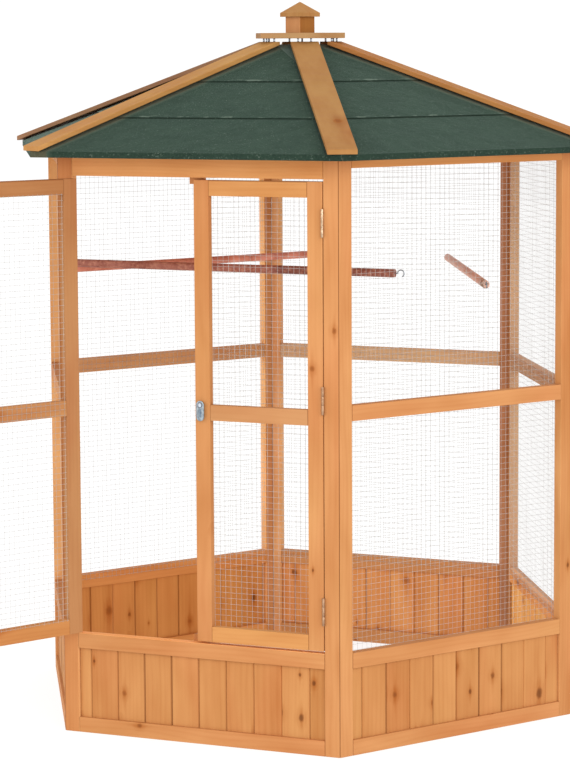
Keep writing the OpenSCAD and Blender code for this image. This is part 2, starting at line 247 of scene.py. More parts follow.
# Stiles: a tint on the front wall's left one, painted light and painted shade on the back wall's
# pair from inside, and painted light on the inner edge faces
RUDDY = (0.9, 0.81, 0.75)
BACK_LEFT_LIGHT = (1.3, 1.45, 1.7)
BACK_RIGHT_SHADE = (0.84, 0.85, 1.1)
EDGE_FACE_LIGHT = (1.28, 1.42, 1.48)
EDGE_FACE_LIGHT_TINTS = {"right_back": (1.0, 1.14, 1.12), "left_back": (1.7, 2.0, 2.1)}

# Rails: painted light on the outer faces under the eave, on the front sill's top and on the inner
# faces by wall, and painted shade on the left back wall's inner faces
UNDER_EAVE_LIGHT = (1.13, 1.19, 1.14)
LEDGE_LIGHT = (1.7, 1.7, 1.6)
# Painted shade for the left back wall's inner faces, deeper and warmer than the painted light on
# the other inner faces
INNER_SHADE = (1.07, 0.95, 0.74)
SILL_INNER_LIGHT_AND_SHADE = {"left_back": INNER_SHADE, "right_back": (1.42, 1.38, 1.25)}
UPPER_INNER_LIGHT = {"left_back": (1.0, 1.06, 1.18), "back": (1.08, 1.38, 1.9)}

# Boards: painted light on the inner faces, where a wall has no tint of its own and where it has
# (painted shade on the left back wall), and painted light on some joints
INNER_LIGHT = (1.28, 1.23, 1.17)
INNER_WALL_LIGHT_AND_SHADE = {"left_back": INNER_SHADE, "right_back": (1.7, 1.95, 1.8)}
JOINT_LIGHT = (1.22, 1.2, 1.16)

# A joint between boards holds more glaze the higher its random number, and gets painted light,
# lifting the shade in its groove, where it is low
GLAZE = 0.55
JOINT_LIGHT_LOT = (0.65, 0.2)

# Rails of the leaves, from the bottom up
LEAF_TINTS = {
    "left": ((1.24, 1.18, 0.97), (1.13, 1.1, 1.06), (0.89, 0.81, 0.77)),
    "right": ((1.0, 1.0, 0.88), (0.87, 0.92, 1.0), (1.09, 1.15, 1.1)),
}

# Roof: some hips by the number of their sector, the plate, painted light and painted shade on the
# block's two sides, and the cap
HIP_TINTS = {1: (1.15, 1.02, 0.95), 4: (0.82, 0.88, 1.45), 5: (1.25, 1.3, 1.23)}
PLATE_TINT = (1.08, 1.23, 1.58)
BLOCK_LIGHT_AND_SHADE = ((1.4, 1.35, 1.7), (0.92, 0.73, 0.54))
CAP_TINTS = ((1.14, 1.22, 1.35), (1.14, 1.22, 1.35))


# ---- Node graphs ----


class Graph:
    """Short calls that add shader nodes to one tree and return their output."""

    def __init__(self, tree):
        self.tree = tree

    def node(self, kind, *values, names=None, **settings):
        made = self.tree.nodes.new("ShaderNode" + kind)
        for key, value in settings.items():
            setattr(made, key, value)
        sockets = [made.inputs[name] for name in names] if names else made.inputs
        for socket, value in zip(sockets, values):
            self.put(socket, value)
        return made

    def put(self, socket, value):
        """Links an output to a socket, or sets the socket's own value; None leaves it."""
        if value is None:
            return
        if isinstance(value, bpy.types.NodeSocket):
            self.tree.links.new(value, socket)
        elif socket.type == "RGBA":
            socket.default_value = (*value[:3], 1)
        else:
            socket.default_value = value

    def math(self, operation, *values):
        return self.node("Math", *values, operation=operation).outputs[0]

    def add(self, a, b):
        return self.math("ADD", a, b)

    def sub(self, a, b):
        return self.math("SUBTRACT", a, b)

    def div(self, a, b):
        return self.math("DIVIDE", a, b)

    def mul(self, first, *others):
        for value in others:
            first = self.math("MULTIPLY", first, value)
        return first

    def mul_add(self, value, factor, addend):
        return self.math("MULTIPLY_ADD", value, factor, addend)

    def abs(self, value):
        return self.math("ABSOLUTE", value)

    def most(self, a, b):
        return self.math("MAXIMUM", a, b)

    def over(self, value, limit):
        """1 where the value is over the limit, 0 elsewhere."""
        return self.math("GREATER_THAN", value, limit)

    def under(self, value, limit):
        """1 where the value is under the limit, 0 elsewhere."""
        return self.math("LESS_THAN", value, limit)

    def same(self, a, b):
        """1 where two whole numbers are the same, 0 elsewhere."""
        return self.math("COMPARE", a, b, 0.1)

    def rest(self, share):
        """What is left of 1 beside a share."""
        return self.sub(1.0, share)

    def vector(self, operation, *values):
        made = self.node("VectorMath", operation=operation)
        places = (0, 3) if operation == "SCALE" else (0, 1)
        for index, value in zip(places, values):
            self.put(made.inputs[index], value)
        return made.outputs["Value" if operation == "LENGTH" else "Vector"]

    def split(self, vector):
        return self.node("SeparateXYZ", vector).outputs[:]

    def join(self, x, y, z):
        return self.node("CombineXYZ", x, y, z).outputs[0]

    def mix(self, factor, a, b, blend="MIX"):
        made = self.node("Mix", data_type="RGBA", blend_type=blend)
        for index, value in ((0, factor), (6, a), (7, b)):
            self.put(made.inputs[index], value)
        return made.outputs[2]

    def lay(self, tone, colour, *masks):
        """Colour laid over a tone, as far as the product of the masks says."""
        return self.mix(self.mul(*masks), tone, colour)

    def noise(self, point, scale, detail=2.0, roughness=0.5, output="Fac"):
        """Noise with one scale, or with a scale for each axis."""
        scaled = self.vector("MULTIPLY" if isinstance(scale, tuple) else "SCALE", point, scale)
        names = ("Vector", "Scale", "Detail", "Roughness")
        made = self.node("TexNoise", scaled, 1.0, detail, roughness, names=names)
        return made.outputs[output]

    def cells(self, point, scale, dimensions="3D"):
        names = ("Vector", "Scale")
        made = self.node("TexVoronoi", point, scale, names=names, voronoi_dimensions=dimensions)
        return made.outputs

    def ease(self, value, low, high, out_low=0.0, out_high=1.0):
        """Smooth step of value from low to high."""
        names = ("Value", "From Min", "From Max", "To Min", "To Max")
        values = (value, low, high, out_low, out_high)
        made = self.node("MapRange", *values, names=names, interpolation_type="SMOOTHSTEP")
        return made.outputs[0]

    def band(self, value, start, full, still_full, end):
        """Smooth rise from start to full, and fall from still_full to end."""
        return self.mul(self.ease(value, start, full), self.ease(value, end, still_full))

    def bump(self, height, distance, strength, normal=None):
        names = ("Strength", "Distance", "Height", "Normal")
        return self.node("Bump", strength, distance, height, normal, names=names).outputs[0]


def new_material(name, roughness, metallic=0.0, specular=0.5):
    """A material, the graph that draws it, and its Principled shader."""
    material = bpy.data.materials.new(name)
    material.use_nodes = True
    shader = material.node_tree.nodes["Principled BSDF"]
    shader.inputs["Roughness"].default_value = roughness
    shader.inputs["Metallic"].default_value = metallic
    shader.inputs["Specular IOR Level"].default_value = specular
    return material, Graph(material.node_tree), shader


def new_group(name, inputs, outputs):
    """A shader node group, its graph, and its input and output sockets."""
    tree = bpy.data.node_groups.new(name, "ShaderNodeTree")
    for direction, sockets in (("INPUT", inputs), ("OUTPUT", outputs)):
        for socket_name, kind in sockets.items():
            kind = "NodeSocket" + kind
            tree.interface.new_socket(socket_name, in_out=direction, socket_type=kind)
    entry = tree.nodes.new("NodeGroupInput")
    result = tree.nodes.new("NodeGroupOutput")
    return tree, Graph(tree), entry.outputs, result.inputs


def sector_group():
    """Turns a point to the front wall's frame, or to the frame of a hip, and numbers its sector."""
    inputs = {"Point": "Vector", "Start": "Float"}
    outputs = {"Local": "Vector", "Sector": "Float"}
    tree, g, entry, result = new_group("sector", inputs, outputs)
    x, y, _ = g.split(g.vector("SUBTRACT", entry["Point"], tuple(AXIS)))
    around = g.math("ARCTAN2", x, g.mul(y, -1.0))
    whole = g.math("ROUND", g.div(g.sub(around, entry["Start"]), CORNER))
    back = g.mul(g.add(g.mul(whole, CORNER), entry["Start"]), -1.0)
    names = ("Vector", "Center", "Angle")
    values = (entry["Point"], tuple(AXIS), back)
    turned = g.node("VectorRotate", *values, names=names, rotation_type="Z_AXIS").outputs[0]
    g.put(result["Local"], turned)
    g.put(result["Sector"], g.math("FLOORED_MODULO", whole, 6.0))
    return tree


# ---- Wood ----

KNOT_CELL = (0.055, 1.0, 0.17)
KNOT_RADIUS = 0.0027
KNOT_GROWTH = 0.0074
KNOT_SPREAD = 1.6
KNOT_DEPTH = 0.68

# Fades about a knot, in radii from its middle, from where they end to where they are full
KNOT_FADE = (1.35, 0.6)
HALO_FADE = (3.6, 0.8)
FLAME_FADE = (1.9, 0.3)

# Rings: a random number times the first, plus the second, says where a piece's pith lies and
# how dense its rings are
PITH_X = (0.09, -0.045)
PITH_Y = (0.05, 0.012)
RING_DENSITY = (380.0, 420.0)
PITH_DRIFT = 0.034
RING_WOBBLE = 6.5
RING_SHARPNESS = 2.4
KNOT_PUSH = 0.0042

# Moves each piece to a part of the noise of its own
PIECE_SHIFT = (3.7, 5.3, 7.9)

# Scales of the noises in the grain, per metre: across the face, into it, and along the fibres
RAGGED = (260.0, 260.0, 160.0)
WANDER = (0.6, 0.6, 2.6)
WOBBLE = (30.0, 30.0, 3.5)
FIBRE = (900.0, 900.0, 14.0)
STREAK = (70.0, 70.0, 1.5)
BLOTCH = (14.0, 14.0, 4.5)
HUE = (7.0, 7.0, 2.2)

# How much each deepens the tone, and how far the hue turns
BASE_DEPTH = 0.26
RING_DEPTH = 0.08
FLAME_DEPTH = 0.26
HALO_DEPTH = 0.26
FIBRE_DEPTH = 0.15
STREAK_DEPTH = 0.42
BLOTCH_DEPTH = 1.05
PIECE_DEPTH = 0.27
HUE_DEPTH = 0.45

WOOD_GLOSS = (0.56, 0.74)
WOOD_RELIEF = 0.00025


def knots(g, here, share):
    """Knots: one in each stretched cell, present in a share of the cells.

    Returns the knot, its halo, the flame above and below it, how far a point lies from
    its middle in radii, and its own random number.
    """
    flat = g.split(g.vector("DIVIDE", here, KNOT_CELL))
    cell = g.cells(g.join(flat[0], flat[2], 0.0), 1.0, "2D")
    centre = g.split(cell["Position"])
    aside = g.mul(g.sub(flat[0], centre[0]), KNOT_CELL[0])
    up = g.mul(g.sub(flat[2], centre[1]), KNOT_CELL[2])
    lot = g.split(cell["Color"])
    slim = g.mul_add(lot[2], -0.35, 0.95)
    away = g.vector("LENGTH", g.join(aside, g.mul(up, slim), 0.0))
    tail = g.vector("LENGTH", g.join(g.mul(aside, 1.5), g.mul(up, 0.2), 0.0))
    present = g.under(lot[0], share)
    radius = g.mul_add(g.math("POWER", lot[1], KNOT_SPREAD), KNOT_GROWTH, KNOT_RADIUS)
    ragged = g.noise(here, RAGGED)
    reach = g.sub(g.mul_add(ragged, 0.7, g.div(away, radius)), 0.35)
    knot = g.mul(g.ease(reach, *KNOT_FADE), present)
    halo = g.mul(g.ease(reach, *HALO_FADE), present)
    flame = g.mul(g.ease(g.div(tail, radius), *FLAME_FADE), present)
    return knot, halo, flame, reach, lot[2]


def late_wood(g, here, grain, piece, halo):
    """Rings about a pith that wanders along the piece, pushed aside by the knots."""
    across, depth, _ = g.split(grain)
    wander = g.noise(here, WANDER, 1.0, output="Color")
    wander = g.vector("SUBTRACT", wander, (0.5, 0.5, 0.5))
    wander = g.split(g.vector("SCALE", wander, PITH_DRIFT))
    ring_x = g.add(g.add(across, g.mul_add(piece[0], *PITH_X)), wander[0])
    ring_y = g.add(g.add(depth, g.mul_add(piece[1], *PITH_Y)), wander[1])
    from_pith = g.vector("LENGTH", g.join(ring_x, ring_y, 0.0))
    bent = g.mul_add(halo, KNOT_PUSH, from_pith)
    wobble = g.noise(here, WOBBLE)
    rings = g.mul(bent, g.mul_add(piece[1], *RING_DENSITY))
    wave = g.math("SINE", g.mul_add(wobble, RING_WOBBLE, rings))
    return g.math("POWER", g.mul_add(wave, 0.5, 0.5), RING_SHARPNESS)


def wood_group():
    """Figure of sawn fir: rings about a pith line, fibres, blotches and knots.

    Grain is in metres: across the face, into the face, and along the fibres.
    """
    inputs = {
        "Grain": "Vector", "Piece": "Vector", "Light": "Color", "Dark": "Color", "Knots": "Float",
    }
    outputs = {"Color": "Color", "Height": "Float"}
    tree, g, entry, result = new_group("wood", inputs, outputs)
    piece = g.split(entry["Piece"])
    shift = g.vector("MULTIPLY", entry["Piece"], PIECE_SHIFT)
    here = g.vector("ADD", entry["Grain"], shift)
    knot, halo, flame, reach, lot = knots(g, here, entry["Knots"])
    late = late_wood(g, here, entry["Grain"], piece, halo)
    fibre = g.noise(here, FIBRE, 3.0, 0.6)
    streak = g.noise(here, STREAK, 2.0, 0.55)
    blotch = g.noise(here, BLOTCH)

    # How far the tone goes from light to dark
    deep = g.mul_add(late, RING_DEPTH, g.mul(flame, FLAME_DEPTH))
    for source, depth in (
        (fibre, FIBRE_DEPTH), (streak, STREAK_DEPTH), (blotch, BLOTCH_DEPTH),
        (piece[2], PIECE_DEPTH),
    ):
        deep = g.mul_add(g.sub(source, 0.5), depth, deep)
    deep = g.mul_add(halo, HALO_DEPTH, g.add(deep, BASE_DEPTH))
    factor = g.node("Clamp", deep, 0.0, 1.0).outputs[0]
    tone = g.mix(factor, entry["Light"], entry["Dark"])
    hue = g.noise(here, HUE)
    tone = g.mix(g.ease(hue, 0.5, 0.68, 0.0, HUE_DEPTH), tone, HUE_RED, "MULTIPLY")
    tone = g.mix(g.ease(hue, 0.48, 0.32, 0.0, HUE_DEPTH), tone, HUE_GREEN, "MULTIPLY")
    pale_knot = g.mix(g.ease(reach, 1.0, 0.1), *KNOT_PALE)
    dark_knot = g.mix(g.ease(reach, 1.0, 0.2), *KNOT_DARK)
    core = g.mix(g.ease(lot, 0.35, 0.65), pale_knot, dark_knot)
    g.put(result["Color"], g.lay(tone, core, knot, KNOT_DEPTH))
    relief = g.mul_add(fibre, 0.7, g.mul(late, -0.35))
    g.put(result["Height"], g.mul_add(knot, 0.5, relief))
    return tree


SECTOR = sector_group()
WOOD = wood_group()

# Kinds of piece, so that each has random numbers of its own
STILES, RAILS, BOARDS, LEAF_STILES, LEAF_RAILS, HIPS, DECKS, BLOCKS, PLATES, GLAZES = range(1, 11)


def object_point(g):
    return g.node("TexCoord").outputs["Object"]


def wall_point(g, start=0.0):
    """The point in the frame of its wall or hip, and the sector's number."""
    made = g.node("Group", node_tree=SECTOR)
    g.put(made.inputs["Point"], object_point(g))
    g.put(made.inputs["Start"], start)
    return made.outputs["Local"], made.outputs["Sector"]


def placed_point(g, place):
    """The point in the frame of a piece that one matrix moved to its place."""
    back = place.inverted()
    names = ("Vector", "Location", "Rotation")
    values = (object_point(g), back.to_translation(), back.to_euler())
    return g.node("Mapping", *values, names=names).outputs[0]


def pick(g, *numbers):
    """Three random numbers that stay the same over one piece of a kind."""
    return g.node("TexWhiteNoise", g.join(*numbers), names=("Vector",)).outputs["Color"]


def on_wall(g, sector, wall):
    """1 on the wall of this name, 0 on the others."""
    return g.same(sector, WALLS.index(wall))


def near(g, distance, width, depth):
    """A joint's line: at full depth in its core, 0 from its width on."""
    return g.ease(distance, width * LINE_CORE, width, depth, 0.0)


def from_corner(g, x, y):
    """Distance from the upright plane through the nearer corner of a wall, in the wall's frame."""
    aside = g.mul(g.abs(x), math.cos(CORNER / 2))
    ahead = g.mul(g.sub(AXIS.y, y), math.sin(CORNER / 2))
    return g.sub(ahead, aside)


def wood_material(name, draw, tones=PINE, share=FEW_KNOTS):
    """Glazed fir, with a light and a dark tone, and knots in a share of the cells.

    draw(g) returns the grain vector, the piece's three random numbers, how deep the glaze
    lies in a joint, from 0 to 1, and the tint of this side of the piece.
    """
    material, g, shader = new_material(name, 0.6, specular=0.04)
    grain, piece, crease, tint = draw(g)
    made = g.node("Group", node_tree=WOOD)
    values = {"Grain": grain, "Piece": piece, "Light": tones[0], "Dark": tones[1], "Knots": share}
    for key, value in values.items():
        g.put(made.inputs[key], value)
    tone = g.mix(crease, made.outputs["Color"], CREASE)
    height = made.outputs["Height"]
    g.put(shader.inputs["Base Color"], g.vector("MULTIPLY", tone, tint))
    g.put(shader.inputs["Roughness"], g.ease(height, 0.0, 0.8, *WOOD_GLOSS))
    g.put(shader.inputs["Normal"], g.bump(height, WOOD_RELIEF, 0.5))
    return material


def wall_upright(g):
    """Stiles: fibres upright, one piece on each side of the wall's middle."""
    local, sector = wall_point(g)
    x, y, _ = g.split(local)
    crease = near(g, g.abs(from_corner(g, x, y)), *MITRE_LINE)
    # Painted light on the stiles' inner edge faces, stronger on some walls
    lit_edge_face = g.under(g.abs(x), RAIL_X + TIMBER_EDGE / 2)
    inside = g.over(y, PANEL_MIDDLE)
    # Painted light on one of the back wall's stiles from inside, painted shade on the other
    inner_pair_light = g.mix(g.over(x, 0.0), BACK_RIGHT_SHADE, BACK_LEFT_LIGHT)
    tint = g.lay(PLAIN, RUDDY, on_wall(g, sector, "front"), g.under(x, 0.0))
    tint = g.lay(tint, inner_pair_light, inside, on_wall(g, sector, "back"))
    edge = EDGE_FACE_LIGHT
    for wall, tone in EDGE_FACE_LIGHT_TINTS.items():
        edge = g.mix(on_wall(g, sector, wall), edge, tone)
    return local, pick(g, sector, g.math("SIGN", x), STILES), crease, g.mix(lit_edge_face, tint, edge)


def wall_level(g):
    """Rails: fibres along the wall, one piece on each level."""
    local, sector = wall_point(g)
    x, y, z = g.split(local)
    crease = near(g, g.sub(RAIL_X, g.abs(x)), *BUTT_LINE)
    inside = g.over(y, PANEL_MIDDLE)
    upper = g.over(z, ABOVE_SILL)
    # Painted light lifts the eave's shade on the top rails' outer faces; painted light and shade go
    # on the inner faces by wall
    tint = g.lay(PLAIN, UNDER_EAVE_LIGHT, g.over(z, ABOVE_MIDDLE), g.rest(inside))
    for tints, there in ((SILL_INNER_LIGHT_AND_SHADE, g.rest(upper)), (UPPER_INNER_LIGHT, upper)):
        for wall, tone in tints.items():
            tint = g.lay(tint, tone, inside, there, on_wall(g, sector, wall))
    # Painted light on the front sill's top, lifting the shade under the leaf
    lit_ledge = g.under(g.abs(g.sub(z, SILL_TOP)), LEDGE_T)
    tint = g.lay(tint, LEDGE_LIGHT, lit_ledge, on_wall(g, sector, "front"))
    level = g.math("FLOOR", g.div(z, RAIL_STEP))
    return g.join(z, y, x), pick(g, sector, level, RAILS), crease, tint


def wall_board(shift, inner_light):
    """Boards: fibres upright, one piece in each board's width."""

    def draw(g):
        local, sector = wall_point(g)
        x, y, _ = g.split(local)
        along = g.div(g.sub(x, shift), BOARD_W)
        to_joint = g.mul(g.math("PINGPONG", along, 0.5), BOARD_W)
        lot = pick(g, sector, g.math("ROUND", along), GLAZES)
        crease = g.mul(near(g, to_joint, *BOARD_LINE), g.mul(lot, GLAZE))
        # Painted light on the boards' inner faces, and painted shade on the left back wall's
        tint = g.mix(g.over(y, PANEL_MIDDLE), PLAIN, inner_light)
        # Painted light along the joints whose random number is low
        lit_mask = near(g, to_joint, *JOINT_LIGHT_LINE)
        tint = g.lay(tint, JOINT_LIGHT, lit_mask, g.ease(lot, *JOINT_LIGHT_LOT))
        return local, pick(g, sector, g.math("FLOOR", along), BOARDS), crease, tint

    return draw


def leaf_upright(place, middle, mark):
    """Stiles of a door leaf, on each side of its middle."""

    def draw(g):
        local = placed_point(g, place)
        side = g.math("SIGN", g.sub(g.split(local)[0], middle))
        return local, pick(g, side, mark, LEAF_STILES), 0.0, PLAIN

    return draw


def leaf_level(place, low, high, mark, tints):
    """Rails of a door leaf, between two corners of their box, with tints from the bottom up."""

    def draw(g):
        x, y, z = g.split(placed_point(g, place))
        to_end = g.math("MINIMUM", g.sub(x, low.x), g.sub(high.x, x))
        top_line = near(g, g.sub(high.z, z), *EDGE_LINE)
        line = g.most(top_line, near(g, to_end, *BUTT_LINE))
        tint = g.mix(g.over(z, ABOVE_SILL), tints[0], tints[1])
        tint = g.mix(g.over(z, ABOVE_MIDDLE), tint, tints[2])
        level = g.math("FLOOR", g.div(z, RAIL_STEP))
        return g.join(z, y, x), pick(g, level, mark, LEAF_RAILS), line, tint

    return draw


def hip_run(g):
    """Hip battens: fibres down the hip, each hip a little different in tone."""
    local, sector = wall_point(g, CORNER / 2)
    x, y, z = g.split(local)
    tint = PLAIN
    for hip, tone in HIP_TINTS.items():
        tint = g.mix(g.same(sector, hip), tint, tone)
    return g.join(x, z, y), pick(g, sector, 0.0, HIPS), 0.0, tint


def roof_run(g):
    """Roof boards: fibres along the eave."""
    local, sector = wall_point(g)
    x, y, z = g.split(local)
    return g.join(y, z, x), pick(g, sector, 0.0, DECKS), 0.0, PLAIN


def block_upright(mark, tints=(PLAIN, PLAIN)):
    """A small block with upright fibres, and a tint on either side of its front edge; on the finial
    block these are painted light on one side and painted shade on the other.
    """

    def draw(g):
        point = object_point(g)
        x, _, z = g.split(point)
        tint = g.mix(g.over(x, BLOCK_EDGE_X), *tints)
        return point, pick(g, mark, g.math("FLOOR", z), BLOCKS), 0.0, tint

    return draw


def plate_run(g):
    """The apex plate: fibres level, across the plate."""
    x, y, z = g.split(object_point(g))
    return g.join(y, z, x), pick(g, 1.0, 2.0, PLATES), 0.0, PLATE_TINT


# ---- Felt, metal and perches ----

# Felt: scales of its granules and noises, per metre, and heights of its relief
FELT_GRAINS = 760.0
FELT_ROUGH = (26.0, 60.0, 60.0)
FELT_PATCHES = 14.0
FELT_SPECKS = 210.0
FELT_SWELL = 22.0
GRAIN_RELIEF = 0.0006
SWELL_RELIEF = 0.0035

# The laps and the eave run a little crooked: noise times the first, plus the second
FELT_WAVE = (0.004, -0.002)

# Bands of the felt, in metres above a lap and in from the eave, from their start to their end: a
# painted highlight on a lap's edge, painted shadow below it, pale specks on the eave's fold and
# painted shade on its face
LAP_HIGHLIGHT = (0.0, 0.003, 0.005, 0.013)
LAP_SHADE = (-0.005, -0.0015, 0.0, 0.002)
EAVE_FOLD = (0.012, 0.004)
EAVE_FACE_SHADE = (0.005, 0.001)

# Painted light and a painted brown reflection beside a batten, on its shaded sides: from where, to
# where, and how deep at the batten
LIT_CAST = (0.002, 0.016, 0.55, 0.0)
BOUNCE_CAST = (0.0, 0.005, 0.25, 0.0)

# Zinc: scale of its spangle, and how much glossier or duller than its mean
SPANGLE = 160.0
DULLER = 0.12
GLOSSIER = 0.06
HINGE_LOWER_DEPTH = 0.6

# The catch's painted shade, in metres from its screw: a ring, and a groove's half width and two
# ends below
RING_BAND = (0.0036, 0.0044, 0.0056, 0.0074)
GROOVE_HALF = (0.0032, 0.0016)
GROOVE_START = (0.007, 0.011)
GROOVE_END = (0.029, 0.025)

# Perches: scales of their noises, per metre, and height of their relief
PATCH_SCALE = 17.0
FLECK_SCALE = 120.0
PERCH_RELIEF = 0.0006


def felt_laps(g, y, rough, tone):
    """The tone with painted highlights on the upper edges of the laps, and how deep the painted
    shadow is just below each lap.
    """
    lit_mask = g.ease(rough, 0.52, 0.62)
    dark = 0.0
    for lap in FELT_LAPS:
        above = g.sub(y, lap)
        shelf = g.band(above, *LAP_HIGHLIGHT)
        # Painted highlight where the lap's edge catches the light
        tone = g.lay(tone, FELT_WEAR_AND_GLINT, shelf, lit_mask, 0.4)
        # Painted shadow just below the lap
        below = g.band(above, *LAP_SHADE)
        dark = g.most(dark, g.mul(below, 0.5))
    return tone, dark


def felt_material():
    """Green mineral felt: granules, patches, painted highlights and shadows at the laps, and
    painted light, reflection and shadow beside the battens.
    """
    material, g, shader = new_material("felt", 0.95, specular=0.08)
    shader.inputs["Sheen Weight"].default_value = 0.24
    shader.inputs["Sheen Roughness"].default_value = 0.3
    shader.inputs["Sheen Tint"].default_value = (*FELT_SHEEN, 1)
    point = object_point(g)
    local, sector = wall_point(g)
    x, y, _ = g.split(local)
    rough = g.noise(local, FELT_ROUGH, 4.0, 0.65)
    y = g.add(y, g.mul_add(rough, *FELT_WAVE))
    grit = g.cells(point, FELT_GRAINS)
    lot = g.split(grit["Color"])
    patch = g.noise(point, FELT_PATCHES, 3.0, 0.6)
    base = g.mix(g.ease(patch, 0.3, 0.7), *FELT_BASE)
    tone = g.mix(lot[0], g.mix(0.45, base, FELT_GRIT[0]), g.mix(0.3, base, FELT_GRIT[1]))
    tone = g.lay(tone, FELT_FLECK, g.over(lot[1], 0.99), 0.5)
    tone, dark = felt_laps(g, y, rough, tone)

    # The turned-down eave: pale specks along its fold, and painted shade on its face
    in_from_eave = g.sub(y, FELT_EAVE)
    speck = g.noise(point, FELT_SPECKS, 2.0, 0.6)
    fold = g.mul(g.ease(in_from_eave, *EAVE_FOLD), g.ease(speck, 0.63, 0.7))
    tone = g.lay(tone, FELT_WEAR_AND_GLINT, fold, 0.5)
    dark = g.most(dark, g.mul(g.ease(in_from_eave, *EAVE_FACE_SHADE), 0.2))

    # Beside the battens: painted light and a painted brown reflection on some sides, a painted
    # shadow line on the others
    from_batten = g.sub(from_corner(g, x, y), BATTEN_HALF)
    left = g.under(x, 0.0)
    front = g.add(on_wall(g, sector, "front"), on_wall(g, sector, "left_front"))
    right = g.mul(on_wall(g, sector, "right_front"), g.rest(left))
    cast = g.mul_add(front, left, right)
    tone = g.lay(tone, FELT_LIT, g.ease(from_batten, *LIT_CAST), cast)
    tone = g.lay(tone, FELT_BOUNCE, g.ease(from_batten, *BOUNCE_CAST), cast)
    batten_shadow = g.mul(near(g, from_batten, *BATTEN_SHADOW_LINE), g.rest(cast))
    dark = g.most(dark, batten_shadow)
    g.put(shader.inputs["Base Color"], g.mix(dark, tone, FELT_SHADE))
    grain = g.bump(grit["Distance"], GRAIN_RELIEF, 0.55)
    swell = g.noise(point, FELT_SWELL)
    g.put(shader.inputs["Normal"], g.bump(swell, SWELL_RELIEF, 0.5, grain))
    return material


def zinc_material(name, roughness, tones, metallic=0.85, marking=None):
    """Zinc-plated steel with faint spangle; marking(g, point, tone) returns the tone with its
    marks.
    """
    material, g, shader = new_material(name, roughness, metallic=metallic)
    point = object_point(g)
    pale, dull = tones
    spangle = g.noise(point, SPANGLE, 3.0, 0.6)
    tone = g.mix(g.ease(spangle, 0.3, 0.7), dull, pale)
    if marking:
        tone = marking(g, point, tone)
    g.put(shader.inputs["Base Color"], tone)
    gloss = g.ease(spangle, 0.3, 0.7, roughness + DULLER, roughness - GLOSSIER)
    g.put(shader.inputs["Roughness"], gloss)
    return material


def hinge_lower_tone(g, point, tone):
    """Hinges below the top rails are darker."""
    return g.lay(tone, HINGE_LOWER, g.under(g.split(point)[2], ABOVE_MIDDLE), HINGE_LOWER_DEPTH)


def catch_painted_shade(g, point, tone):
    """Painted shade: a dark ring around the catch's screw, and below it a groove that is only
    painted, as the shade of a pressed groove.
    """
    screw = middle_of("catch_screw")
    x, _, z = g.split(point)
    aside = g.sub(x, screw[0])
    below = g.sub(screw[2], z)
    away = g.vector("LENGTH", g.join(aside, 0.0, below))
    tone = g.lay(tone, CATCH_RING_SHADE, g.band(away, *RING_BAND), 0.6)
    narrow = g.ease(g.abs(aside), *GROOVE_HALF)
    ends = (g.ease(below, *GROOVE_START), g.ease(below, *GROOVE_END))
    return g.lay(tone, CATCH_GROOVE_SHADE, narrow, *ends, 0.7)


def perch_material():
    """Stained round wood in red-brown and pink patches with flecks.

    The highest perch is darker, and the right one of the others paler, with a grey end.
    """
    material, g, shader = new_material("perch_stain", 0.55, specular=0.3)
    point = object_point(g)
    x, y, z = g.split(point)
    patch = g.noise(point, PATCH_SCALE, 3.0, 0.6)
    fleck = g.noise(point, FLECK_SCALE, 3.0, 0.65)
    deep = g.over(z, PERCH_Z)
    tone = g.mix(g.ease(patch, 0.38, 0.62), *PERCH_PATCH)
    pale = g.mul(g.over(x, PERCH_X), g.rest(deep))
    tone = g.lay(tone, PERCH_PALE, pale, 0.6)
    end = g.ease(y, *PERCH_END_Y)
    tone = g.lay(tone, PERCH_END, pale, end, g.ease(fleck, 0.42, 0.54))
    tone = g.lay(tone, PERCH_DEEP, deep, 0.62)
    dusk = g.ease(x, *PERCH_DUSK_X)
    tone = g.lay(tone, PERCH_DUSK, deep, dusk, 0.35)
    tone = g.mix(g.ease(fleck, 0.42, 0.7, 0.0, 0.45), tone, PERCH_FLECK[1])
    tone = g.mix(g.ease(fleck, 0.36, 0.2, 0.0, 0.8), tone, PERCH_FLECK[0])
    g.put(shader.inputs["Base Color"], tone)
    g.put(shader.inputs["Normal"], g.bump(fleck, PERCH_RELIEF, 0.6))
    return material


FELT = felt_material()
ZINC = zinc_material("zinc", 0.34, BRIGHT_ZINC)
WIRE = zinc_material("wire", 0.5, WIRE_ZINC, 0.15)
CATCH = zinc_material("blued_zinc", 0.4, BLUED_ZINC, 0.8, catch_painted_shade)
HOOK = zinc_material("hook_zinc", 0.45, HOOK_ZINC)
HINGE = zinc_material("yellow_zinc", 0.36, YELLOW_ZINC, marking=hinge_lower_tone)
PERCH = perch_material()
STILE = wood_material("pine_stiles", wall_upright)
RAIL = wood_material("pine_rails", wall_level)


# ---- Finish of the CAD nodes ----


def ease_edges(item, width):
    """Rounds the sharp edges of a piece."""
    bevel = item.modifiers.new("edges", "BEVEL")
    bevel.width = width
    bevel.segments = 2
    bevel.limit_method = "ANGLE"
    bevel.angle_limit = SHARP


def finish_node(node, material, edge):
    """Gives a CAD node its material and eased edges."""
    item = frame["nodes"][node]
    for slot in item.material_slots:
        slot.link = "OBJECT"
        slot.material = material
    if not item.material_slots:
        item.data.materials.append(material)
    item.modifiers.new("weld", "WELD").merge_threshold = WELD_GAP
    ease_edges(item, edge)


for wall in WALLS:
    finish_node(wall + "_stiles", STILE, TIMBER_EDGE)
    finish_node(wall + "_rails", RAIL, TIMBER_EDGE)
    finish_node("felt_" + wall, FELT, FELT_EDGE)

